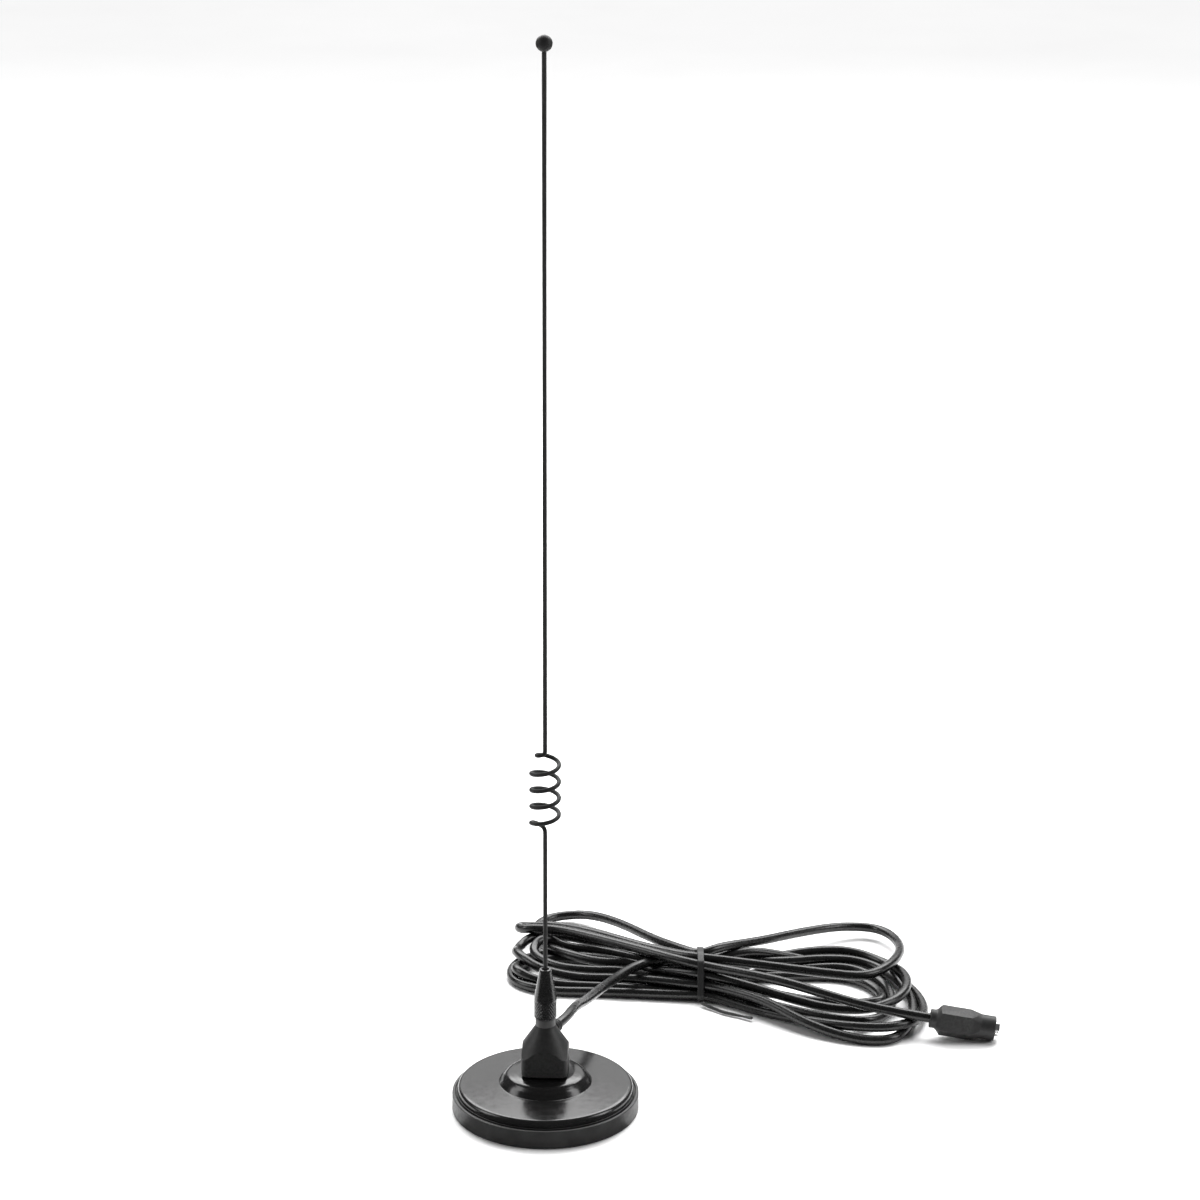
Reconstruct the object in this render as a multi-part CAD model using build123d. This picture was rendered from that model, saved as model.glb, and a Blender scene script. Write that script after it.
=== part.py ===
from build123d import *

import os
from math import cos, pi, radians, sin, tan

# Omnidirectional whip antenna on a magnetic base, with its coaxial cable tied in a hank.
# Millimetres, +Z up. The origin is on the whip's axis, on the surface that the base stands on.

# Magnetic base
BASE_RADIUS = 45.0
BOOT_HEIGHT = 9.1
BOOT_FLOOR = 1.0
COVER_RADIUS = 42.3
COVER_TOP = 14.0
COVER_FALL = 1.15
SHEET = 1.2
DOME_RADIUS = 22.3
DOME_TOP = 19.5
MAGNET_TOP = 9.8
PLATE_TOP = 11.6
RUNNING_GAP = 0.05

# Hub
GASKET_RADIUS = 10.4
HUB_BOTTOM = 20.8
HUB_TOP = 43.6
HUB_SIDE = 22.0
HUB_CORNER = 3.4
HUB_TURN = -3.0
CONE_TOP_RADIUS = 4.7
CONE_SLOPE = 0.67
CAVITY_RADIUS = 5.0
INSERT_RADIUS = 6.4
INSERT_TOP = 27.0
COLLAR_RADIUS = 4.84
COLLAR_TOP = 47.3
BOLT_RADIUS = 2.45
BOLT_HOLE = BOLT_RADIUS + RUNNING_GAP

# Contact stud, an M5 thread drawn as its plain outer cylinder
STUD_RADIUS = 2.45
STUD_HOLE = STUD_RADIUS + RUNNING_GAP
STUD_BOTTOM = 36.8
STUD_TOP = 56.0
LUG_BOTTOM = 40.0
LUG_THICKNESS = 0.5

# Whip
FERRULE_BOTTOM = 47.9
KNURL_RADIUS = 5.48
KNURL_TOP = 57.9
FERRULE_TOP = 72.6
FERRULE_TOP_RADIUS = 2.8
WIRE_RADIUS = 1.05
ROD_BOTTOM = 60.0
ROD_TOP = 513.0
COIL_RADIUS = 6.52
COIL_PITCH = 8.2
COIL_POINTS_PER_TURN = 12
COIL_LAST_RIGHT = 176.3
BALL_RADIUS = 3.75
BALL_CENTRE = 513.9

# Cable exit at the back of the hub
EXIT_HEIGHT = 39.5
EXIT_BEARING = 58.0
RELIEF_INNER = 6.2
RELIEF_OUTER = 10.4
RELIEF_RADIUS = 2.85
RIB_RADIUS = 3.3

# Cable, standard 5 mm coaxial cable
CABLE_RADIUS = 2.475
DIELECTRIC_RADIUS = 1.475
CORE_RADIUS = 0.45
ARC_SHARE = 0.45

LEAD_ROUTE = [
    (3.5, 5.6, 39.5),
    (9.3, 14.9, 39.5),
    (13.5, 33.0, 37.5),
    (18.5, 60.0, 31.5),
    (24.5, 92.0, 22.0),
    (31.0, 121.0, 15.8),
    (39.0, 137.0, 15.0),
    (50.0, 147.5, 15.2),
]

TAIL_ROUTE = [
    (84.0, 126.5, 17.5),
    (101.5, 116.5, 18.6),
    (119.5, 106.5, 18.8),
    (138.0, 97.0, 17.0),
    (157.0, 88.3, 14.6),
    (178.8, 81.7, 12.5),
    (200.5, 80.0, 9.5),
]

# Hank: two loose lobes and a waist that the tie holds
LEFT_LOBE_TOP = 10.5
RIGHT_LOBE_TOP = 9.5
LEFT_LOBE = [
    ((72, 116), 3),
    ((20, 121), 40),
    ((-17, 127), 18),
    ((-26, 152), 30),
    ((-22, 196), 30),
    ((4, 233), 16),
    ((32, 235), 14),
    ((50, 205), 30),
    ((72, 156), 3),
]
RIGHT_LOBE = [
    ((84, 113.5), 3),
    ((112, 96.5), 20),
    ((144, 68), 30),
    ((168, 61), 12),
    ((184, 70), 6),
    ((186, 88), 8),
    ((194, 104), 12),
    ((198, 130), 40),
    ((190, 202), 14),
    ((174, 220), 14),
    ((148, 212), 25),
    ((104, 163), 20),
    ((84, 154), 3),
]
WAIST_SECTION = [
    ((114.5, 1.3), 2),
    ((114.5, 8), 3),
    ((123, 20), 5),
    ((137, 22.5), 6),
    ((150, 19.5), 5),
    ((155, 11), 5),
    ((154, 1.3), 2),
]
WAIST_START = 46.0
WAIST_END = 106.0

# Tie round the waist
TIE_START = 76.3
TIE_WIDTH = 3.8
TIE_GAP = 0.15
TIE_THICKNESS = 0.9
TIE_TAIL = [(79, 113.9, 1.3), (86, 109.5, 1.3), (91.5, 105.5, 1.3), (100, 101.5, 1.3), (104, 98.7, 1.3)]
TIE_TAIL_SECTION = (0.9, 2.2)

# In-line socket at the cable's end
NECK = (192.6, 80.6, 10.6)
SOCKET_AXIS = (0.9875, -0.0765, -0.138)
SOCKET_LENGTH = 33.0
NOSE_RADIUS = 6.2
BARREL_RADIUS = 7.8
NECK_RADIUS = 4.8
BARREL_FLAT = 6.3
BARREL_FLAT_HALF = 4.4
BARREL_ROLL = 14.5
SHELL_RADIUS = 3.85
SHELL_BORE = 3.1
SHELL_BACK_BORE = 2.9
SHELL_START = 14.0
SHELL_END = 35.2
SOCKET_FLOOR = 27.2
SLOT_WIDTH = 1.9
SLOT_START = 30.5

exit_plane = Plane(
    origin=(0, 0, EXIT_HEIGHT),
    x_dir=(-sin(radians(EXIT_BEARING)), cos(radians(EXIT_BEARING)), 0),
    z_dir=(cos(radians(EXIT_BEARING)), sin(radians(EXIT_BEARING)), 0),
)
socket_plane = Plane(origin=NECK, x_dir=(SOCKET_AXIS[1], -SOCKET_AXIS[0], 0), z_dir=SOCKET_AXIS)


def outline(corners):
    """Closed face from (point, corner radius) pairs."""
    points = [corner[0] for corner in corners]
    radii = [corner[1] for corner in corners]
    return make_face(FilletPolyline(*points, radius=radii, close=True))


def turned(corners):
    """Solid of revolution about Z, from ((radius, height), corner radius) pairs."""
    return revolve(Plane.XZ * outline(corners), Axis.Z)


def ring(outer, inner, bottom, top, edge=0.0):
    """Plain ring about Z with rounded outer edges."""
    return turned([((inner, bottom), 0), ((outer, bottom), edge), ((outer, top), edge), ((inner, top), 0)])


def rod(radius, bottom, top):
    """Plain cylinder about Z."""
    return Pos(0, 0, bottom) * Cylinder(radius, top - bottom, align=(Align.CENTER, Align.CENTER, Align.MIN))


def bend_radii(points):
    """The largest arcs that the straight runs on each side of a corner allow."""
    places = [Vector(*point) for point in points]
    runs = [after - before for before, after in zip(places, places[1:])]
    return [
        ARC_SHARE * min(first.length, second.length) / tan(radians(first.get_angle(second) / 2))
        for first, second in zip(runs, runs[1:])
    ]


def tube(points, radius):
    """Round tube along straight runs joined by tangent arcs, and its path."""
    path = FilletPolyline(*points, radius=bend_radii(points))
    section = Plane(origin=path @ 0, z_dir=path % 0) * Circle(radius)
    return sweep(section, path=path), path


def report_cord(name, points):
    """Cord tube, with its bends and its volume printed for comparison."""
    solid, path = tube(points, CABLE_RADIUS)
    radii = [round(radius, 1) for radius in bend_radii(points)]
    expected = path.length * pi * CABLE_RADIUS**2
    print(f"{name}: length {path.length:.1f}, bend radii {radii}")
    print(f"{name}: volume {solid.volume:.0f} of {expected:.0f}")
    return solid


def rubber_boot():
    """Rubber cup under and round the magnet, with a lip and a thin inner bead."""
    ledge = COVER_RADIUS + 0.1
    seat = BOOT_HEIGHT - RUNNING_GAP
    return turned([
        ((0, 0), 0),
        ((BASE_RADIUS, 0), 0.8),
        ((BASE_RADIUS, BOOT_HEIGHT), 0.6),
        ((43.5, BOOT_HEIGHT), 0.3),
        ((43.5, 8.1), 0.2),
        ((42.9, 8.1), 0.2),
        ((42.9, 9.6), 0.2),
        ((ledge, 9.6), 0.2),
        ((ledge, seat), 0),
        ((41.0, seat), 0),
        ((41.0, BOOT_FLOOR), 0),
        ((0, BOOT_FLOOR), 0),
    ])


def base_cover():
    """Pressed steel cover: a low crowned dome, a top that falls slightly outwards and a rounded rim."""
    inner = COVER_RADIUS - SHEET
    rim = COVER_TOP - COVER_FALL
    return turned([
        ((BOLT_HOLE + 0.2, DOME_TOP), 0),
        ((14.3, DOME_TOP), 6.0),
        ((18.2, 18.8), 4.0),
        ((20.4, 16.7), 5.0),
        ((DOME_RADIUS, COVER_TOP), 0.5),
        ((COVER_RADIUS, rim), 2.3),
        ((COVER_RADIUS, BOOT_HEIGHT), 0.3),
        ((inner, BOOT_HEIGHT), 0),
        ((inner, rim - SHEET), 1.1),
        ((DOME_RADIUS - 0.2, COVER_TOP - SHEET), 2.0),
        ((19.2, 16.4), 4.0),
        ((17.6, 17.65), 3.0),
        ((14.2, DOME_TOP - SHEET), 4.0),
        ((BOLT_HOLE + 0.2, DOME_TOP - SHEET), 0),
    ])


def pole_core():
    """Steel core in the magnet's hole, counterbored for the hub bolt's head."""
    core = ring(17.5, BOLT_HOLE, BOOT_FLOOR + RUNNING_GAP, MAGNET_TOP, 0.3)
    return core - rod(5.5, 0, 6.0)


def hub_bolt():
    """Socket-head screw that clamps the base to the hub from below."""
    head = rod(4.3, 2.2, 5.2)
    hexagon = extrude(RegularPolygon(3.0 / 2, 6, major_radius=False), 1.8)
    return head + rod(BOLT_RADIUS, 5.2, 26.5) - Pos(0, 0, 2.2) * hexagon


def bolt_washer():
    """Washer between the bolt's head and the core."""
    return ring(4.8, BOLT_HOLE, 5.25, 6.0, 0.1)


def along_exit(shape):
    """Place a shape made about Z on the cable's exit axis."""
    return exit_plane.location * shape


def hub_body():
    """Square block with rounded corners and a conical top, hollow from below."""
    cone_foot = 15.0
    foot_height = HUB_TOP - (cone_foot - CONE_TOP_RADIUS) / CONE_SLOPE
    block = extrude(RectangleRounded(HUB_SIDE, HUB_SIDE, HUB_CORNER), HUB_TOP - HUB_BOTTOM)
    block = Rot(0, 0, HUB_TURN) * Pos(0, 0, HUB_BOTTOM) * block
    envelope = turned([
        ((0, HUB_BOTTOM), 0),
        ((cone_foot, HUB_BOTTOM), 0),
        ((cone_foot, foot_height), 0),
        ((CONE_TOP_RADIUS, HUB_TOP), 0.4),
        ((0, HUB_TOP), 0),
    ])
    body = block & envelope
    body -= rod(INSERT_RADIUS + RUNNING_GAP, HUB_BOTTOM, INSERT_TOP)
    body -= rod(CAVITY_RADIUS, INSERT_TOP, LUG_BOTTOM + LUG_THICKNESS)
    body -= rod(4.0, LUG_BOTTOM, HUB_TOP)
    body -= along_exit(rod(RELIEF_RADIUS + RUNNING_GAP, 0, 20))
    return body - along_exit(rod(RIB_RADIUS + 0.1, 6.95, 20))


def hub_insert():
    """Threaded steel insert that closes the hub's underside."""
    return ring(INSERT_RADIUS, BOLT_HOLE, HUB_BOTTOM + 0.2, INSERT_TOP, 0.2)


def insulating_collar():
    """Stepped nylon bush: the collar stands on the hub, its spigot lines the hub's bore."""
    pocket = COLLAR_TOP - 1.0
    return turned([
        ((STUD_HOLE, LUG_BOTTOM + LUG_THICKNESS), 0),
        ((3.95, LUG_BOTTOM + LUG_THICKNESS), 0),
        ((3.95, HUB_TOP), 0),
        ((COLLAR_RADIUS, HUB_TOP), 0.25),
        ((COLLAR_RADIUS, COLLAR_TOP), 0.25),
        ((4.25, COLLAR_TOP), 0),
        ((4.25, pocket), 0),
        ((STUD_HOLE, pocket), 0),
    ])


def contact_stud():
    """Brass stud with a shoulder that seats in the collar."""
    shoulder = rod(4.2, COLLAR_TOP - 0.95, COLLAR_TOP)
    shank = rod(STUD_RADIUS, STUD_BOTTOM, STUD_TOP)
    return shank + shoulder


def stud_nut():
    """Thin hexagon nut that clamps the lug to the collar's spigot."""
    hexagon = extrude(RegularPolygon(4.0, 6, major_radius=False), LUG_BOTTOM - 37.3)
    return Pos(0, 0, 37.3) * hexagon - rod(STUD_HOLE, 30, 50)


def solder_lug():
    """Ring terminal with a tab towards the cable."""
    tab = Pos(4.2, 0, 0) * Box(1.8, 2.4, LUG_THICKNESS, align=(Align.CENTER, Align.CENTER, Align.MIN))
    tab = Rot(0, 0, EXIT_BEARING) * Pos(0, 0, LUG_BOTTOM) * tab
    eye = rod(4.3, LUG_BOTTOM, LUG_BOTTOM + LUG_THICKNESS)
    return eye + tab - rod(STUD_HOLE, 30, 50)


def strain_relief():
    """Ribbed rubber sleeve in the hub's side, round the cable."""
    sleeve = rod(RELIEF_RADIUS, RELIEF_INNER, RELIEF_OUTER)
    for start in (7.0, 8.3, 9.6):
        sleeve += ring(RIB_RADIUS, 1.0, start, start + 0.8, 0.2)
    return along_exit(sleeve - rod(CABLE_RADIUS + 0.025, 0, 20))


def ferrule():
    """Turned ferrule: nose that meets the stud's shoulder, knurled band and long cone."""
    body = turned([
        ((0, COLLAR_TOP + RUNNING_GAP), 0),
        ((4.1, COLLAR_TOP + RUNNING_GAP), 0),
        ((4.1, FERRULE_BOTTOM), 0),
        ((KNURL_RADIUS, FERRULE_BOTTOM), 0.4),
        ((KNURL_RADIUS, KNURL_TOP), 1.2),
        ((FERRULE_TOP_RADIUS, FERRULE_TOP), 0.4),
        ((1.9, FERRULE_TOP), 0),
        ((1.5, FERRULE_TOP - 0.8), 0),
        ((0, FERRULE_TOP - 0.8), 0),
    ])
    body -= rod(STUD_HOLE, COLLAR_TOP, STUD_TOP + 1.0)
    return body - rod(WIRE_RADIUS + 0.02, ROD_BOTTOM - 0.2, FERRULE_TOP)


def rod_route():
    """Centre line of the whip: rod, coil of a right-handed helix, rod."""
    step = 360.0 / COIL_POINTS_PER_TURN
    half_step = radians(step / 2)
    corner_radius = COIL_RADIUS / (ARC_SHARE + (1 - ARC_SHARE) * cos(half_step)) * 1.014
    lower_end = [(0, 0, ROD_BOTTOM), (0, 0, 144.3), (-2.4, 3.2, 145.3), (-5.4, 3.4, 146.4), (-6.9, 0.4, 147.4)]
    upper_end = [
        (6.0, 3.2, 177.2),
        (3.6, 5.3, 178.1),
        (0.4, 5.6, 179.2),
        (-2.6, 4.2, 180.1),
        (-4.3, 1.2, 180.8),
        (-3.0, -0.9, 181.3),
        (0, 0, 181.7),
        (0, 0, ROD_TOP),
    ]
    turns = []
    for count in range(-41, 1):
        angle = radians(count * step)
        height = COIL_LAST_RIGHT + count * COIL_PITCH / COIL_POINTS_PER_TURN
        turns.append((corner_radius * cos(angle), corner_radius * sin(angle), height))
    return lower_end + turns + upper_end


def whip_rod():
    """One wire, bent into the coil."""
    solid, path = tube(rod_route(), WIRE_RADIUS)
    print(f"whip wire: length {path.length:.1f}, tightest bend {min(bend_radii(rod_route())):.2f}")
    return solid


def tip_ball():
    """Ball on the rod's tip."""
    return Pos(0, 0, BALL_CENTRE) * Sphere(BALL_RADIUS) - rod(WIRE_RADIUS + 0.02, 500, ROD_TOP + 0.1)


def cable_hank():
    """Outer shape of the tied hank: two lobes on the floor and the gathered waist."""
    left = extrude(outline(LEFT_LOBE), LEFT_LOBE_TOP)
    right = extrude(outline(RIGHT_LOBE), RIGHT_LOBE_TOP)
    waist = Pos(WAIST_START, 0, 0) * extrude(Plane.YZ * outline(WAIST_SECTION), WAIST_END - WAIST_START)
    return left + right + waist


def cable_tie():
    """Flat tie round the waist, its knot on top and its loose tail on the floor."""
    section = outline(WAIST_SECTION)
    band = offset(section, amount=TIE_GAP + TIE_THICKNESS) - offset(section, amount=TIE_GAP)
    loop = Pos(TIE_START, 0, 0) * extrude(Plane.YZ * band, TIE_WIDTH)
    knot = Pos(TIE_START + TIE_WIDTH + 1.0, 137, 23.9) * Rot(0, 90, 0) * Cylinder(1.2, 3.6)
    path = FilletPolyline(*TIE_TAIL, radius=bend_radii(TIE_TAIL))
    start = Plane(origin=path @ 0, x_dir=(0, 0, 1), z_dir=path % 0)
    strip = start * Rectangle(*reversed(TIE_TAIL_SECTION))
    return loop + knot + sweep(strip, path=path)


def on_socket(shape):
    """Place a shape made about Z on the socket's axis."""
    return socket_plane.location * shape


def connector_body():
    """Moulded grip: round neck, six-sided barrel, taper and round nose."""
    lathe = turned([
        ((0, 0), 0),
        ((NECK_RADIUS, 0), 0.5),
        ((NECK_RADIUS, 2.9), 2.4),
        ((BARREL_RADIUS, 5.6), 0.3),
        ((BARREL_RADIUS, 19.8), 2.0),
        ((NOSE_RADIUS + 0.05, 25.8), 3.0),
        ((NOSE_RADIUS, SOCKET_LENGTH), 0.5),
        ((0, SOCKET_LENGTH), 0),
    ])
    tip = BARREL_RADIUS + 0.2
    half = [(BARREL_FLAT, -BARREL_FLAT_HALF), (BARREL_FLAT, BARREL_FLAT_HALF), (0, tip)]
    section = Polygon(*half, *[(-x, -y) for x, y in half], align=None)
    prism = Rot(0, 0, -BARREL_ROLL) * extrude(section, SOCKET_LENGTH)
    body = lathe & prism
    body -= rod(CABLE_RADIUS + 0.025, -1, 8.05)
    body -= rod(3.35, 8, SHELL_START)
    return on_socket(body - rod(SHELL_RADIUS + 0.03, SHELL_START, SOCKET_LENGTH + 1))


def connector_crimp():
    """Crimp sleeve on the cable's braid inside the grip."""
    return on_socket(ring(3.3, 2.0, 8.1, SHELL_START - 0.05, 0.2))


def socket_shell():
    """Plated outer contact, slotted at its mouth so that it springs, with a step that a plug seats on."""
    shell = ring(SHELL_RADIUS, SHELL_BACK_BORE, SHELL_START + 0.05, SHELL_END, 0.25)
    shell -= rod(SHELL_BORE, SOCKET_FLOOR, SHELL_END + 1.0)
    length = SHELL_END - SLOT_START + 1.0
    slot = Box(2 * SHELL_RADIUS + 2, SLOT_WIDTH, length, align=(Align.CENTER, Align.CENTER, Align.MIN))
    return on_socket(shell - Rot(0, 0, 8) * Pos(0, 0, SLOT_START) * slot)


def socket_insulator():
    """Insulator at the floor of the socket."""
    return on_socket(ring(SHELL_BACK_BORE - 0.03, 0.95, SHELL_START + 0.5, SOCKET_FLOOR, 0.2))


def socket_contact():
    """Centre contact, drilled for a pin, flush with the insulator."""
    return on_socket(rod(0.9, 9.0, SOCKET_FLOOR) - rod(0.5, SOCKET_FLOOR - 6.0, SOCKET_FLOOR + 1))


PARTS = {
    "rubber_boot": rubber_boot,
    "base_cover": base_cover,
    "ring_magnet": lambda: ring(40.0, 19.0, BOOT_FLOOR + RUNNING_GAP, MAGNET_TOP, 0.5),
    "pole_core": pole_core,
    "back_plate": lambda: ring(40.2, BOLT_HOLE, MAGNET_TOP, PLATE_TOP, 0.3),
    "dome_spacer": lambda: ring(11.0, BOLT_HOLE, PLATE_TOP, DOME_TOP - SHEET, 0.2),
    "hub_bolt": hub_bolt,
    "bolt_washer": bolt_washer,
    "hub_gasket": lambda: ring(GASKET_RADIUS, BOLT_HOLE + 0.2, DOME_TOP, HUB_BOTTOM, 0.4),
    "hub_body": hub_body,
    "hub_insert": hub_insert,
    "insulating_collar": insulating_collar,
    "contact_stud": contact_stud,
    "stud_nut": stud_nut,
    "solder_lug": solder_lug,
    "strain_relief": strain_relief,
    "braid_clamp": lambda: along_exit(ring(2.7, DIELECTRIC_RADIUS + 0.05, 5.4, 6.1, 0.1)),
    "cable_dielectric": lambda: along_exit(rod(DIELECTRIC_RADIUS, 5.2, 6.59)),
    "cable_core": lambda: along_exit(rod(CORE_RADIUS, 4.7, 5.2)),
    "weather_seal": lambda: ring(4.95, 4.15, COLLAR_TOP + RUNNING_GAP, FERRULE_BOTTOM - RUNNING_GAP, 0.15),
    "ferrule": ferrule,
    "whip_rod": whip_rod,
    "tip_ball": tip_ball,
    "cable_lead": lambda: report_cord("lead", LEAD_ROUTE),
    "cable_hank": cable_hank,
    "cable_tail": lambda: report_cord("tail", TAIL_ROUTE),
    "cable_tie": cable_tie,
    "connector_body": connector_body,
    "connector_crimp": connector_crimp,
    "socket_shell": socket_shell,
    "socket_insulator": socket_insulator,
    "socket_contact": socket_contact,
}

os.makedirs("parts", exist_ok=True)
for node, make in PARTS.items():
    export_step(make(), f"parts/{node}.step")
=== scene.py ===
from math import cos, pi, radians, sin

import bpy
import numpy as np
from mathutils import Euler, Matrix, Vector


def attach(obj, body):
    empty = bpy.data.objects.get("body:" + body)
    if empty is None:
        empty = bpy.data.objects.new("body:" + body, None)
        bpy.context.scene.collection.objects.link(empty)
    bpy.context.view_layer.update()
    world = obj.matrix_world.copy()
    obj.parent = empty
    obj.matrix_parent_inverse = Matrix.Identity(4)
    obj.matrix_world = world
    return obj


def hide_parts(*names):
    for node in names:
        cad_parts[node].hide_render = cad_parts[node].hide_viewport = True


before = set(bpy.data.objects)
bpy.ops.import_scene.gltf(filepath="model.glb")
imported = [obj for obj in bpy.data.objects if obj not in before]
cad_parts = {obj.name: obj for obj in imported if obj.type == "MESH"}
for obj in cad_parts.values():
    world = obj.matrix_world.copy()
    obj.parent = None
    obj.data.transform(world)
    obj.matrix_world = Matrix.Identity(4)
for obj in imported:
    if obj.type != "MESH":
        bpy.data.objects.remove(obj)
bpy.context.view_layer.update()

# Everything is in metres, in the row frame: +Z up along the whip, the floor at zero.
MM = 0.001

# The camera looks along +Y and down by its pitch. Its angles are in degrees, its lens in millimetres.
CAMERA_PLACE = (0.0254, -1.5334, 0.7552)
CAMERA_PITCH = 17.976
CAMERA_ROLL = 0.22
CAMERA_LENS = 105.0
SENSOR_WIDTH = 36.0

# Each softbox: its name, its place, the point that it faces, its size and its power in watts.
SOFTBOXES = [
    ("backdrop", (0.1, 2.4, 1.1), (0.08, 0.1, 0.05), (3.4, 0.92), 13.8),
    ("high_back", (0.08, 1.39, 1.53), (0.08, 0.1, 0.0), (3.0, 1.0), 66.0),
    ("left", (-1.3, 0.0, 0.9), (0.0, 0.0, 0.05), (0.5, 0.9), 6.0),
    ("right", (1.4, -0.1, 0.9), (0.05, 0.0, 0.05), (0.5, 0.9), 8.0),
]
SUN_STRENGTH = 3.3
SUN_SPREAD_DEGREES = 50
SUN_DIRECTION = (-0.1, -0.5, -1.0)
SURROUND_LIGHT = 0.1
SURROUND_SEEN = 0.95

FLOOR_CENTRE = (0.06, -0.02, 0.0)
TABLE_RADIUS = 0.9
FLOOR_RADIUS = 14.0
FLOOR_SIDES = 96
FLOOR_DROP = 0.05 * MM

CABLE_DIAMETER = 4.95 * MM
LEAD_ROUTE = [
    (0.0035, 0.0056, 0.0395),
    (0.0093, 0.0149, 0.0395),
    (0.0135, 0.033, 0.0378),
    (0.0187, 0.0575, 0.0296),
    (0.0262, 0.088, 0.0225),
    (0.0335, 0.1135, 0.0165),
    (0.0415, 0.1325, 0.014),
    (0.0535, 0.146, 0.0128),
]
TAIL_ROUTE = [
    (0.084, 0.1265, 0.0175),
    (0.1015, 0.1165, 0.0186),
    (0.1195, 0.1065, 0.0188),
    (0.138, 0.097, 0.017),
    (0.157, 0.0883, 0.0146),
    (0.1788, 0.0817, 0.0125),
    (0.2005, 0.08, 0.0095),
]

# The hank: each turn goes through the tie, round a loop on the right, back through the tie and round a loop
# on the left. A loop is given by its far bulge, its tip and its near bulge.
TIE_X = 0.0782
RIGHT_LOOPS = [
    ((0.150, 0.165, 0.0026), (0.192, 0.108, 0.0026), (0.164, 0.0745, 0.0065)),
    ((0.148, 0.155, 0.006), (0.1765, 0.121, 0.003), (0.151, 0.087, 0.0062)),
    ((0.144, 0.1495, 0.0026), (0.1718, 0.119, 0.0035), (0.147, 0.112, 0.004)),
    ((0.154, 0.160, 0.0076), (0.187, 0.114, 0.004), (0.166, 0.0705, 0.0026)),
    ((0.150, 0.172, 0.0076), (0.185, 0.129, 0.007), (0.155, 0.0975, 0.006)),
    ((0.166, 0.208, 0.005), (0.185, 0.177, 0.0075), (0.156, 0.127, 0.013)),
]
LEFT_LOOPS = [
    ((0.0, 0.177, 0.0026), (-0.0193, 0.1495, 0.0026), (0.012, 0.1287, 0.0026)),
    ((0.003, 0.171, 0.0026), (-0.0185, 0.1475, 0.0055), (0.014, 0.1345, 0.0032)),
    ((0.012, 0.181, 0.003), (-0.0088, 0.171, 0.004), (0.032, 0.1475, 0.0065)),
    ((0.012, 0.190, 0.005), (-0.0184, 0.1665, 0.006), (0.026, 0.1392, 0.0055)),
    ((0.012, 0.227, 0.0035), (-0.0088, 0.207, 0.0035), (0.036, 0.1535, 0.0085)),
]
LAST_LOOP = ((-0.009, 0.1985, 0.0085), (-0.0172, 0.1925, 0.0112), (-0.0095, 0.184, 0.0142))
# Where each turn passes the tie, as Y and Z: towards the right loops, and back.
FAR_SLOTS = [
    (0.146, 0.0135),
    (0.1495, 0.0039),
    (0.1443, 0.0039),
    (0.151, 0.009),
    (0.1458, 0.0089),
    (0.1395, 0.019),
]
NEAR_SLOTS = [
    (0.1232, 0.0035),
    (0.1285, 0.0035),
    (0.131, 0.0084),
    (0.1256, 0.0082),
    (0.1283, 0.0131),
    (0.1338, 0.0198),
]
LAST_SLOT = (0.1288, 0.0178)

TIE_WIDTH = 3.5 * MM
TIE_CLEARANCE = 0.12 * MM
TIE_THICKNESS = 0.7 * MM
TIE_BAND_STEPS = 120
TIE_TAIL_WIDTH = 1.7 * MM
TIE_TAIL_THICKNESS = 1.2 * MM
TIE_TAIL_TURNS = 0.5
TIE_TAIL = [
    (0.0785, 0.1165, 0.0022),
    (0.081, 0.1135, 0.0018),
    (0.0845, 0.1112, 0.0014),
    (0.0885, 0.1072, 0.0013),
    (0.0938, 0.1043, 0.0013),
    (0.1002, 0.1012, 0.0014),
    (0.1037, 0.0984, 0.0018),
]

FERRULE_BOTTOM = 47.9 * MM
FERRULE_RADIUS = 5.48 * MM
KNURL_TOP = 56.9 * MM
FERRULE_TOP = 72.6 * MM
FERRULE_TIP_RADIUS = 2.8 * MM
WIRE_HOLE = 1.06 * MM
RECESS_RADIUS = 1.9 * MM
RECESS_DEPTH = 0.8 * MM
STUD_HOLE = 2.5 * MM
STUD_HOLE_TOP = 56.0 * MM
WIRE_BOTTOM = 60.0 * MM
KNURL_TEETH = 28
POINTS_PER_TOOTH = 12
KNURL_PITCH = 1.9 * MM
KNURL_DEPTH = 0.24 * MM
KNURL_FADE = 0.35 * MM


# ---------------------------------------------------------------- camera, floor and light


def add_camera():
    """Camera at the viewing angle of a product shot: far away, with a long lens."""
    data = bpy.data.cameras.new("camera")
    data.lens = CAMERA_LENS
    data.sensor_width = SENSOR_WIDTH
    camera = bpy.data.objects.new("camera", data)
    bpy.context.scene.collection.objects.link(camera)
    tilt = Euler((radians(90 - CAMERA_PITCH), 0, 0)).to_matrix().to_4x4()
    roll = Matrix.Rotation(radians(CAMERA_ROLL), 4, "Z")
    camera.matrix_world = Matrix.Translation(CAMERA_PLACE) @ tilt @ roll
    bpy.context.scene.camera = camera


def add_softbox(name, place, target, size, power):
    """Rectangular area light that faces its target."""
    data = bpy.data.lights.new(name, "AREA")
    data.shape = "RECTANGLE"
    data.size, data.size_y = size
    data.energy = power
    light = bpy.data.objects.new(name, data)
    bpy.context.scene.collection.objects.link(light)
    light.location = place
    light.rotation_euler = (Vector(target) - Vector(place)).to_track_quat("-Z", "Y").to_euler()


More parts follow.
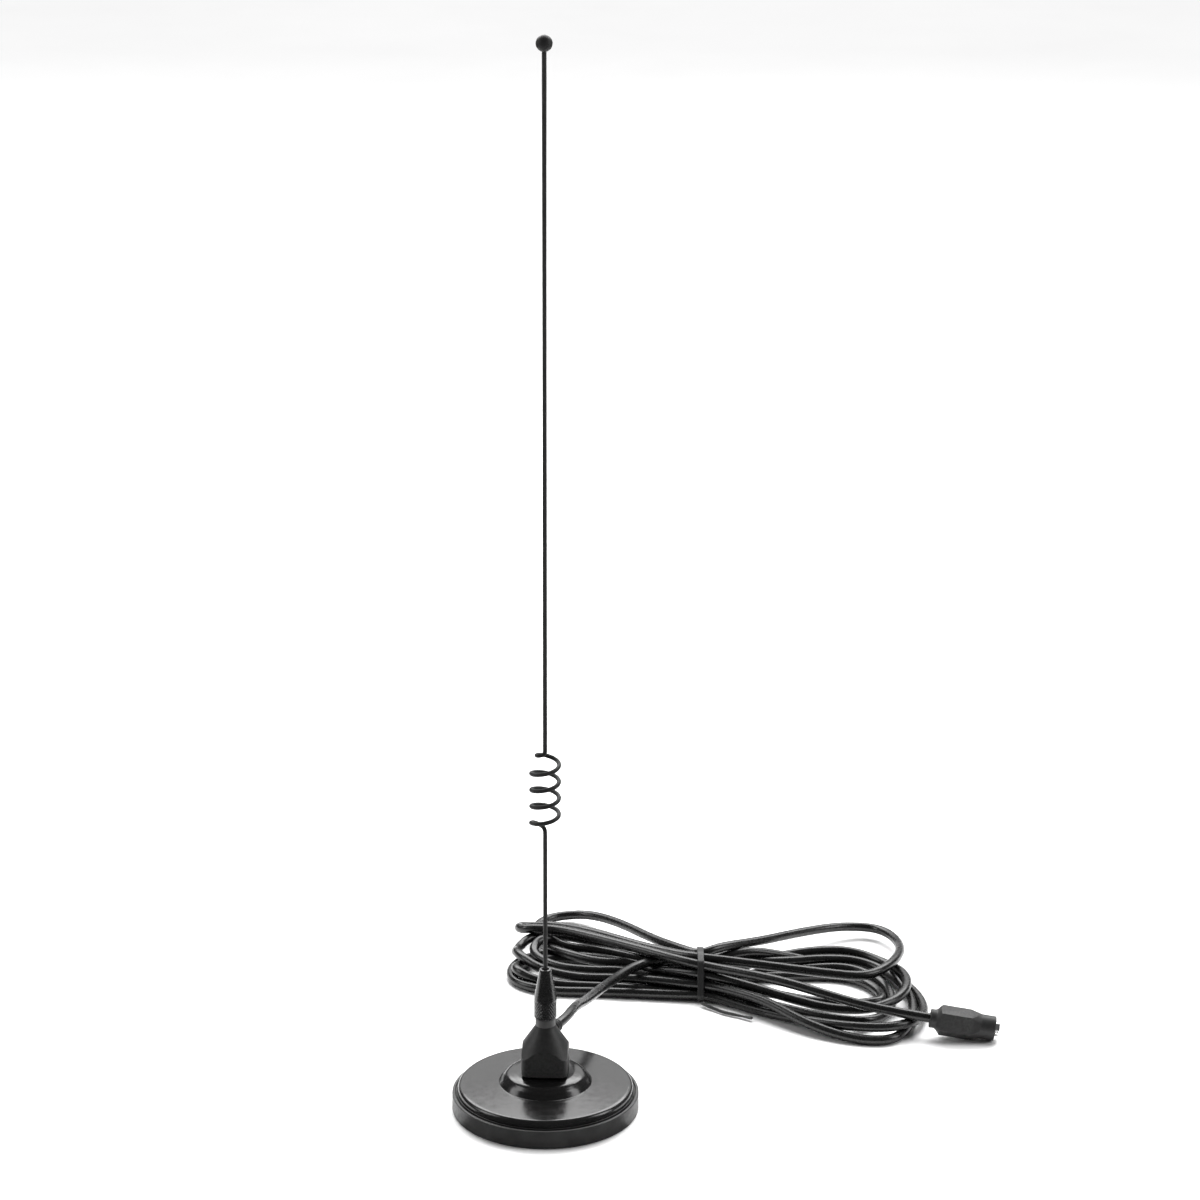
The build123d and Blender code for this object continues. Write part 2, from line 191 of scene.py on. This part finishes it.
def add_surround():
    """World that looks pale, and that lights the object only faintly from all round."""
    world = bpy.data.worlds.new("studio")
    world.use_nodes = True
    tree = world.node_tree
    white = (1.0, 1.0, 1.0, 1.0)
    faint = tree.nodes["Background"]
    faint.inputs["Color"].default_value = white
    faint.inputs["Strength"].default_value = SURROUND_LIGHT
    pale = add_node(tree, "Background", {"Color": white, "Strength": SURROUND_SEEN})
    seen = add_node(tree, "LightPath", {}).outputs["Is Camera Ray"]
    mixed = add_node(tree, "MixShader", {0: seen, 1: faint.outputs[0], 2: pale.outputs[0]})
    tree.links.new(mixed.outputs[0], tree.nodes["World Output"].inputs["Surface"])
    bpy.context.scene.world = world


def add_sun():
    """Broad even light from above and behind, too diffuse to show as a highlight."""
    data = bpy.data.lights.new("sky", "SUN")
    data.energy = SUN_STRENGTH
    data.angle = radians(SUN_SPREAD_DEGREES)
    sun = bpy.data.objects.new("sky", data)
    bpy.context.scene.collection.objects.link(sun)
    sun.rotation_euler = Vector(SUN_DIRECTION).to_track_quat("-Z", "Y").to_euler()
    sun.visible_glossy = False


def add_floor():
    """Pale floor. The object's gloss mirrors only the table behind and beside it."""
    material = surface("pale_floor", (0.94, 0.97), (0.85, 0.95), [], 2.0)
    sides = FLOOR_SIDES
    vertices = [FLOOR_CENTRE]
    for radius in (TABLE_RADIUS, FLOOR_RADIUS):
        for i in range(sides):
            angle = 2 * pi * i / sides
            x = FLOOR_CENTRE[0] + radius * cos(angle)
            y = FLOOR_CENTRE[1] + radius * sin(angle)
            vertices.append((x, y, 0))
    pairs = [(1 + i, 1 + (i + 1) % sides) for i in range(sides)]
    fans = [(0, a, b) for a, b in pairs]
    table = fans[: sides // 2]
    rest = fans[sides // 2 :] + [(a, a + sides, b + sides, b) for a, b in pairs]
    for name, faces, glossy in (("studio_table", table, True), ("studio_floor", rest, False)):
        mesh = bpy.data.meshes.new(name)
        mesh.from_pydata(vertices, [], faces)
        mesh.materials.append(material)
        ground = bpy.data.objects.new(name, mesh)
        ground.location.z = -FLOOR_DROP
        ground.visible_glossy = glossy
        bpy.context.scene.collection.objects.link(ground)


def add_studio():
    """Pale floor, a pale surround and soft lights above, behind and at both sides."""
    bpy.context.scene.view_settings.view_transform = "Standard"
    add_surround()
    add_sun()
    for softbox in SOFTBOXES:
        add_softbox(*softbox)
    add_floor()


# ---------------------------------------------------------------- materials


def add_node(tree, kind, inputs, **settings):
    """New shader node, with each of its inputs linked to a socket or set to a value."""
    node = tree.nodes.new("ShaderNode" + kind)
    for name, value in settings.items():
        setattr(node, name, value)
    for name, value in inputs.items():
        if isinstance(value, bpy.types.NodeSocket):
            tree.links.new(value, node.inputs[name])
        else:
            node.inputs[name].default_value = value
    return node


def noise(tree, scale, detail=3.0, stretch=(1, 1, 1)):
    """Noise over the object's own coordinates, so scale counts bumps in a metre."""
    where = add_node(tree, "TexCoord", {})
    stretched = add_node(tree, "Mapping", {"Vector": where.outputs["Object"], "Scale": stretch})
    texture = add_node(tree, "TexNoise", {"Vector": stretched.outputs[0], "Scale": scale, "Detail": detail})
    return texture.outputs[0]


def spread(tree, value, low, high, start=0.35, end=0.65):
    """Value taken from its usual range to the range from low to high."""
    inputs = {"Value": value, "From Min": start, "From Max": end, "To Min": low, "To Max": high}
    return add_node(tree, "MapRange", inputs).outputs[0]


def shades(tree, value, dark, light):
    """Colour between two shades. A shade is a grey level or three colour values."""
    ramp = add_node(tree, "ValToRGB", {"Fac": value})
    for element, position, shade in zip(ramp.color_ramp.elements, (0.32, 0.68), (dark, light)):
        element.position = position
        element.color = (shade, shade, shade, 1) if isinstance(shade, float) else (*shade, 1)
    return ramp.outputs["Color"]


def surface(name, colours, roughness, grain, patch, edge_glint_and_wear=None, specular=None, metallic=0.0):
    """Finish whose colour and roughness vary in soft patches, with layers of fine relief.

    A grain layer is its scale in bumps per metre, its depth in metres and how it is stretched.
    patch is how many patches of colour there are in a metre. The lighter edge shade goes on sharp
    edges where they are rubbed; on the ferrule's knurl crests it is also a painted highlight.
    """
    material = bpy.data.materials.new(name)
    material.use_nodes = True
    tree = material.node_tree
    shader = tree.nodes["Principled BSDF"]
    shader.inputs["Metallic"].default_value = metallic
    if specular is not None:
        shader.inputs["Specular IOR Level"].default_value = specular
    colour = shades(tree, noise(tree, patch, 5.0), *colours)
    # Sharp edges get a lighter shade: rubbed edges, and on the ferrule's knurl crests also a painted
    # highlight.
    if edge_glint_and_wear is not None:
        edge = add_node(tree, "NewGeometry", {}).outputs["Pointiness"]
        glinting_worn_edges = spread(tree, edge, 0.0, 1.0, *GLINTING_WORN_EDGE)
        broken = spread(tree, noise(tree, 900.0, 4.0), 0.15, 1.0)
        amount = add_node(tree, "Math", {0: glinting_worn_edges, 1: broken}, operation="MULTIPLY").outputs[0]
        mix = add_node(tree, "Mix", {0: amount, 6: colour}, data_type="RGBA")
        mix.inputs[7].default_value = (edge_glint_and_wear, edge_glint_and_wear, edge_glint_and_wear, 1)
        colour = mix.outputs[2]
    tree.links.new(colour, shader.inputs["Base Color"])
    tree.links.new(spread(tree, noise(tree, patch * 7.0, 4.0), *roughness), shader.inputs["Roughness"])
    normal = None
    for scale, depth, stretch in grain:
        inputs = {"Height": noise(tree, scale, 3.0, stretch), "Distance": depth, "Strength": 1.0}
        if normal is not None:
            inputs["Normal"] = normal
        normal = add_node(tree, "Bump", inputs).outputs[0]
    if normal is not None:
        tree.links.new(normal, shader.inputs["Normal"])
    return material


# How sharp an edge is where the lighter edge shade starts to show, and where it shows fully: rubbed edges,
# and on the knurl crests also a painted highlight.
GLINTING_WORN_EDGE = (0.53, 0.62)

# How the grain's bumps are stretched.
EVEN = (1, 1, 1)
ALONG_Z = (1, 1, 0.04)
ROUND_Z = (0.05, 0.05, 1)
ALONG_X = (0.05, 1, 1)


def rubber():
    """Black moulded rubber, between matte and satin."""
    grain = [(2600.0, 0.02 * MM, EVEN), (700.0, 0.015 * MM, EVEN)]
    return surface("moulded_rubber", (0.024, 0.036), (0.38, 0.5), grain, 90.0, edge_glint_and_wear=0.08, specular=0.4)


def gasket_painted_shadow():
    """Black foam rubber, made darker and duller than the rubber itself to paint the shadow in the gap under
    the hub.
    """
    grain = [(1800.0, 0.05 * MM, EVEN), (600.0, 0.03 * MM, EVEN)]
    return surface("foam_rubber_painted_shadow", (0.004, 0.008), (0.8, 0.95), grain, 120.0, specular=0.15)


def cover_paint():
    """Satin black paint on pressed steel, with a faint orange peel."""
    grain = [(420.0, 0.008 * MM, EVEN), (2400.0, 0.002 * MM, EVEN)]
    return surface("satin_cover_paint", (0.006, 0.009), (0.16, 0.24), grain, 45.0, edge_glint_and_wear=0.05)


def hub_paint():
    """Fine textured powder coat."""
    grain = [(3200.0, 0.035 * MM, EVEN), (1300.0, 0.03 * MM, EVEN)]
    tones, gloss = (0.012, 0.02), (0.42, 0.56)
    return surface("textured_powder_coat", tones, gloss, grain, 400.0, edge_glint_and_wear=0.04, specular=0.4)


def whip_finish():
    """Hard black finish on drawn wire and the turned ball."""
    grain = [(2200.0, 0.004 * MM, ALONG_Z), (500.0, 0.003 * MM, EVEN)]
    return surface("black_wire_finish", (0.014, 0.022), (0.46, 0.58), grain, 70.0, edge_glint_and_wear=0.04, specular=0.22)


def ferrule_finish():
    """Black plated turned metal, with turning marks, and knurl crests lightened both as rubbed metal and as
    a painted highlight of the light they catch.
    """
    grain = [(2600.0, 0.006 * MM, ROUND_Z), (1500.0, 0.004 * MM, EVEN)]
    # The strong edge shade here paints highlights on the knurl crests as well as rubbed metal.
    return surface("black_turned_metal", (0.005, 0.009), (0.2, 0.3), grain, 120.0, edge_glint_and_wear=0.3, specular=0.65)


def nylon():
    """Dark grey insulating plastic, turned."""
    grain = [(2000.0, 0.01 * MM, ROUND_Z), (1800.0, 0.006 * MM, EVEN)]
    return surface("grey_insulator", (0.045, 0.06), (0.42, 0.55), grain, 150.0, edge_glint_and_wear=0.12)


def cable_jacket():
    """Satin black sheath with faint marks from extrusion and handling."""
    grain = [(900.0, 0.0025 * MM, EVEN), (260.0, 0.006 * MM, EVEN), (3000.0, 0.0008 * MM, EVEN)]
    return surface("satin_cable_sheath", (0.004, 0.007), (0.24, 0.34), grain, 55.0)


def tie_plastic():
    """Ribbed black tie strip."""
    grain = [(2400.0, 0.012 * MM, EVEN), (600.0, 0.012 * MM, EVEN)]
    return surface("tie_plastic", (0.009, 0.014), (0.38, 0.5), grain, 200.0, edge_glint_and_wear=0.05)


def grip_plastic():
    """Moulded plastic with a fine spark-eroded texture."""
    grain = [(3600.0, 0.018 * MM, EVEN), (900.0, 0.01 * MM, EVEN)]
    tones, gloss = (0.012, 0.018), (0.44, 0.56)
    return surface("eroded_grip_plastic", tones, gloss, grain, 160.0, edge_glint_and_wear=0.07, specular=0.42)


def plated():
    """Bright nickel with hairline scratches."""
    grain = [(2500.0, 0.003 * MM, ALONG_X), (1200.0, 0.002 * MM, EVEN)]
    return surface("bright_nickel", (0.72, 0.8), (0.1, 0.24), grain, 200.0, metallic=1.0)


def brass():
    """Turned brass with rings left by the tool."""
    shades_of_brass = ((0.55, 0.38, 0.16), (0.68, 0.5, 0.24))
    grain = [(2400.0, 0.006 * MM, ROUND_Z)]
    return surface("turned_brass", shades_of_brass, (0.24, 0.4), grain, 160.0, metallic=1.0)


def steel():
    """Zinc-plated steel."""
    grain = [(1600.0, 0.006 * MM, EVEN)]
    return surface("zinc_plated_steel", (0.42, 0.55), (0.3, 0.48), grain, 220.0, metallic=1.0)


def magnet():
    """Sintered ferrite, charcoal grey and slightly pitted."""
    grain = [(1500.0, 0.05 * MM, EVEN)]
    return surface("sintered_ferrite", (0.05, 0.085), (0.6, 0.8), grain, 300.0, edge_glint_and_wear=0.16)


def dielectric():
    """White polyethylene."""
    grain = [(1400.0, 0.008 * MM, EVEN)]
    return surface("white_polyethylene", (0.72, 0.82), (0.35, 0.5), grain, 120.0)


NODE_FINISHES = {
    rubber: ["rubber_boot", "weather_seal", "strain_relief"],
    # The gasket's near-black finish paints the shadow in the gap under the hub.
    gasket_painted_shadow: ["hub_gasket"],
    cover_paint: ["base_cover"],
    magnet: ["ring_magnet"],
    steel: ["pole_core", "back_plate", "dome_spacer", "hub_bolt", "bolt_washer", "hub_insert"],
    hub_paint: ["hub_body"],
    nylon: ["insulating_collar"],
    brass: [
        "contact_stud",
        "stud_nut",
        "solder_lug",
        "braid_clamp",
        "cable_core",
        "connector_crimp",
        "socket_contact",
    ],
    whip_finish: ["whip_rod", "tip_ball"],
    dielectric: ["cable_dielectric", "socket_insulator"],
    grip_plastic: ["connector_body"],
    plated: ["socket_shell"],
}


def finish_nodes():
    """Give every CAD node that stays shown its finish."""
    for finish, names in NODE_FINISHES.items():
        material = finish()
        for name in names:
            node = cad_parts[name]
            node.data.materials.clear()
            node.data.materials.append(material)


# ---------------------------------------------------------------- cable


def leg(slot, bulge):
    """Points from a slot in the tie out to a loop's bulge, leaving the tie along the bundle."""
    for share in (0.12, 0.36, 0.62, 0.86):
        # Part of the way it fans out at once, and the rest it leaves and arrives level.
        ease = 0.3 * sin(pi * share / 2) + 0.7 * share * share * (3 - 2 * share)
        x = TIE_X + (bulge[0] - TIE_X) * share
        y = slot[0] + (bulge[1] - slot[0]) * ease
        yield x, y, slot[1] + (bulge[2] - slot[1]) * share


def quarter_turn(bulge, tip):
    """Points round a quarter of an ellipse from a loop's bulge to its tip."""
    overshoot = 1.03
    for degrees in (15, 45, 75):
        angle = radians(degrees)
        x = bulge[0] + (tip[0] - bulge[0]) * sin(angle) * overshoot
        y = tip[1] + (bulge[1] - tip[1]) * cos(angle) * overshoot
        yield x, y, bulge[2] + (tip[2] - bulge[2]) * degrees / 90


def loop(start, far, tip, near, end):
    """Points of one loop, from its slot in the tie, round the tip and back to a slot."""
    out = [*leg(start, far), *quarter_turn(far, tip)]
    back = [*leg(end, near), *quarter_turn(near, tip)]
    return out + back[::-1]


def cable_route():
    """Control points of the whole cable, and which of them stay where they are."""
    points = list(LEAD_ROUTE)
    fixed = [True] * len(points)

    def extend(more, hold):
        points.extend(more)
        fixed.extend([hold] * len(more))

    for turn, (far, near) in enumerate(zip(FAR_SLOTS, NEAR_SLOTS)):
        extend([(TIE_X, *far)], True)
        extend(loop(far, *RIGHT_LOOPS[turn], near), False)
        extend([(TIE_X, *near)], True)
        if turn < len(LEFT_LOOPS):
            extend(loop(FAR_SLOTS[turn + 1], *LEFT_LOOPS[turn], near)[::-1], False)
    extend(loop(NEAR_SLOTS[-1], *LAST_LOOP, LAST_SLOT), False)
    extend(TAIL_ROUTE, True)
    return np.array(points), np.array(fixed)


def spline_weights(count, steps):
    """How much each control point counts at samples along a clamped quadratic spline."""
    unit = np.eye(count)
    rows = [unit[0]]
    for i in range(1, count - 1):
        first = unit[0] if i == 1 else (unit[i - 1] + unit[i]) / 2
        last = unit[-1] if i == count - 2 else (unit[i] + unit[i + 1]) / 2
        for t in np.linspace(0, 1, steps + 1)[1:]:
            rows.append((1 - t) ** 2 * first + 2 * t * (1 - t) * unit[i] + t * t * last)
    return np.array(rows)


def settle(points, fixed):
    """Push strands that would pass through each other apart, mostly upwards, above the floor."""
    rounds, samples_per_point, gain = 60, 5, 1.6
    same_strand = 4 * CABLE_DIAMETER
    bias = (0.5, 0.5, 1.4)
    lowest = CABLE_DIAMETER / 2 + 0.025 * MM
    weights = spline_weights(len(points), samples_per_point)
    shares = weights.T / weights.sum(0)[:, None]
    free = ~fixed[:, None]
    for _ in range(rounds):
        samples = weights @ points
        runs = np.linalg.norm(np.diff(samples, axis=0), axis=1)
        along = np.concatenate([[0], np.cumsum(runs)])
        apart = samples[:, None, :] - samples[None, :, :]
        distance = np.sqrt((apart**2).sum(-1))
        other_strand = np.abs(along[:, None] - along[None, :]) > same_strand
        touching = other_strand & (distance < CABLE_DIAMETER)
        push = np.where(touching, (CABLE_DIAMETER - distance) / np.maximum(distance, 1e-9) / 2, 0)
        move = (push[:, :, None] * apart).sum(1) / np.maximum(touching.sum(1), 1)[:, None]
        move *= bias
        points = points + (shares @ move) * free * gain
        points[:, 2] = np.maximum(points[:, 2], lowest)
    return points


def add_spline(name, points, radius):
    """Round curve along one smooth NURBS spline."""
    curve = bpy.data.curves.new(name, "CURVE")
    curve.dimensions = "3D"
    curve.bevel_depth = 1.0
    curve.bevel_resolution = 5
    curve.resolution_u = 8
    curve.use_fill_caps = True
    spline = curve.splines.new("NURBS")
    spline.points.add(len(points) - 1)
    for point, place in zip(spline.points, points):
        point.co = (*place, 1)
        point.radius = radius
    spline.order_u = 3
    spline.use_endpoint_u = True
    thing = bpy.data.objects.new(name, curve)
    bpy.context.scene.collection.objects.link(thing)
    return thing


def centreline(thing):
    """Points along a curve object's spline, read from Blender."""
    depth = thing.data.bevel_depth
    thing.data.bevel_depth = 0
    mesh = bpy.data.meshes.new_from_object(thing)
    thing.data.bevel_depth = depth
    places = np.array([vertex.co for vertex in mesh.vertices])
    bpy.data.meshes.remove(mesh)
    return places


def add_cable():
    """The coaxial cable: lead, hank and last stretch in one spline."""
    cable = add_spline("coax_cable", settle(*cable_route()), CABLE_DIAMETER / 2)
    cable.data.materials.append(cable_jacket())
    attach(cable, "base")
    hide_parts("cable_lead", "cable_hank", "cable_tail")
    return cable


# ---------------------------------------------------------------- meshes


def add_mesh(name, vertices, faces, material, body):
    """Smooth-shaded mesh piece that rides on a body."""
    mesh = bpy.data.meshes.new(name)
    mesh.from_pydata([tuple(v) for v in vertices], [], faces)
    mesh.shade_smooth()
    mesh.materials.append(material)
    piece = bpy.data.objects.new(name, mesh)
    bpy.context.scene.collection.objects.link(piece)
    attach(piece, body)
    return piece


def tube_faces(rings, around, closed):
    """Quads between rings of points, with the ends capped unless the rings close up."""
    faces = []
    for i in range(rings if closed else rings - 1):
        a, b = i * around, (i + 1) % rings * around
        for j in range(around):
            k = (j + 1) % around
            faces.append((a + j, a + k, b + k, b + j))
    if not closed:
        faces.append(tuple(range(around))[::-1])
        faces.append(tuple(range((rings - 1) * around, rings * around)))
    return faces


def lathe(profile, around, relief=None):
    """Vertices and faces of a profile of radius and height turned about Z, from axis to axis."""
    angles = [2 * pi * i / around for i in range(around)]
    vertices, rings = [], []
    for radius, z in profile:
        if radius == 0:
            rings.append([len(vertices)] * around)
            vertices.append((0, 0, z))
            continue
        rings.append(list(range(len(vertices), len(vertices) + around)))
        for angle in angles:
            r = radius - (relief(angle, radius, z) if relief else 0)
            vertices.append((r * cos(angle), r * sin(angle), z))
    faces = []
    for lower, upper in zip(rings, rings[1:]):
        for i in range(around):
            k = (i + 1) % around
            corners = [lower[i], lower[k], upper[k], upper[i]]
            faces.append(tuple(dict.fromkeys(corners)))
    return vertices, faces


def knurl_relief(angle, radius, z):
    """Depth of the diamond knurl: two crossing sets of V grooves."""
    if radius < FERRULE_RADIUS - 0.001 * MM:
        return 0.0
    low, high = FERRULE_BOTTOM + 0.3 * MM, KNURL_TOP
    fade = min(1.0, max(0.0, (z - low) / KNURL_FADE), max(0.0, (high - z) / KNURL_FADE))
    turns = KNURL_TEETH * angle / (2 * pi)
    rise = (z - low) / KNURL_PITCH
    grooves = [abs(2 * ((turns + side * rise) % 1.0) - 1) for side in (1, -1)]
    return KNURL_DEPTH * max(grooves) * fade


def add_ferrule():
    """Whip ferrule: knurled grip, long cone and a recess round the wire."""
    edge = 0.4 * MM
    rows = 64
    bottom, top = FERRULE_BOTTOM + edge, KNURL_TOP
    profile = [(0, STUD_HOLE_TOP), (STUD_HOLE, STUD_HOLE_TOP), (STUD_HOLE, FERRULE_BOTTOM)]
    profile += [(FERRULE_RADIUS - edge, FERRULE_BOTTOM)]
    for degrees in (30, 60):
        angle = radians(degrees)
        inset = edge * (1 - sin(angle))
        profile.append((FERRULE_RADIUS - inset, bottom - edge * cos(angle)))
    profile += [(FERRULE_RADIUS, bottom + (top - bottom) * i / rows) for i in range(rows + 1)]
    shoulder = 1.0 * MM
    slope = (FERRULE_RADIUS - FERRULE_TIP_RADIUS) / (FERRULE_TOP - top - shoulder)
    for share in (0.25, 0.5, 0.75, 1.0):
        profile.append((FERRULE_RADIUS - slope * shoulder * share**2 / 2, top + shoulder * share))
    start_radius, start = profile[-1]
    lip = 0.25 * MM
    cone_rows = 12
    for i in range(1, cone_rows + 1):
        share = i / cone_rows
        radius = start_radius + (FERRULE_TIP_RADIUS - start_radius) * share
        profile.append((radius, start + (FERRULE_TOP - lip - start) * share))
    profile.append((FERRULE_TIP_RADIUS - lip / 2, FERRULE_TOP - lip / 4))
    profile.append((FERRULE_TIP_RADIUS - lip, FERRULE_TOP))
    profile += [(RECESS_RADIUS, FERRULE_TOP), (RECESS_RADIUS, FERRULE_TOP - RECESS_DEPTH)]
    profile += [(WIRE_HOLE, FERRULE_TOP - RECESS_DEPTH), (WIRE_HOLE, WIRE_BOTTOM), (0, WIRE_BOTTOM)]
    vertices, faces = lathe(profile, KNURL_TEETH * POINTS_PER_TOOTH, knurl_relief)
    ferrule = add_mesh("knurled_ferrule", vertices, faces, ferrule_finish(), "whip")
    ferrule.modifiers.new("edges", "EDGE_SPLIT").split_angle = radians(50)
    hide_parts("ferrule")


def wrap(centres, radius, steps):
    """Outline of a band pulled tight round circles, with its outward directions."""
    outline = []
    for i in range(steps):
        angle = 2 * pi * i / steps
        outward = np.array([cos(angle), sin(angle)])
        farthest = max(centres, key=lambda c: float(np.dot(c, outward)))
        outline.append((farthest + outward * radius, outward))
    return outline


def tie_section(width, thickness):
    """Half-round-edged strip with two beads and a rib, as across and outward distances."""
    outer = [(-0.5, 0.25), (-0.46, 0.75), (-0.36, 1.0), (-0.25, 0.8), (-0.12, 0.78), (0.0, 1.0)]
    outer += [(0.12, 0.78), (0.25, 0.8), (0.36, 1.0), (0.46, 0.75), (0.5, 0.25)]
    inner = [(0.42, 0.0), (-0.42, 0.0)]
    return [(across * width, outward * thickness) for across, outward in outer + inner]


def add_tie_band(cable, material):
    """Ribbed strip pulled tight round the hank's waist."""
    line = centreline(cable)
    crossings = []
    for a, b in zip(line, line[1:]):
        if (a[0] - TIE_X) * (b[0] - TIE_X) < 0:
            share = (TIE_X - a[0]) / (b[0] - a[0])
            crossings.append((a + (b - a) * share)[1:])
    outline = wrap(crossings, CABLE_DIAMETER / 2 + TIE_CLEARANCE, TIE_BAND_STEPS)
    section = tie_section(TIE_WIDTH, TIE_THICKNESS)
    vertices = []
    for (y, z), (ny, nz) in outline:
        for across, outward in section:
            vertices.append((TIE_X + across, y + ny * outward, max(z + nz * outward, 0.05 * MM)))
    faces = tube_faces(len(outline), len(section), closed=True)
    band = add_mesh("tie_band", vertices, faces, material, "base")
    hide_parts("cable_tie")
    return band


def add_tie_tail(material):
    """Loose end of the tie: the same strip, narrower, along a smooth route that twists it."""
    guide = add_spline("tie_tail_guide", TIE_TAIL, TIE_TAIL_THICKNESS)
    line = centreline(guide)
    bpy.data.objects.remove(guide)
    section = tie_section(TIE_TAIL_WIDTH, TIE_TAIL_THICKNESS)
    vertices = []
    for i, place in enumerate(line):
        ahead = line[min(i + 1, len(line) - 1)] - line[max(i - 1, 0)]
        ahead = Vector(ahead).normalized()
        across = ahead.cross(Vector((0, 0, 1))).normalized()
        outward = across.cross(ahead)
        turn = Matrix.Rotation(2 * pi * TIE_TAIL_TURNS * i / (len(line) - 1), 3, ahead)
        across, outward = turn @ across, turn @ outward
        for a, o in section:
            vertices.append(Vector(place) + across * a + outward * (o - TIE_TAIL_THICKNESS / 2))
    faces = tube_faces(len(line), len(section), closed=False)
    return add_mesh("tie_tail", vertices, faces, material, "base")


# ---------------------------------------------------------------- the scene


add_camera()
cable = add_cable()
tie_material = tie_plastic()
tie_band = add_tie_band(cable, tie_material)
tie_tail = add_tie_tail(tie_material)
add_ferrule()
finish_nodes()
add_studio()
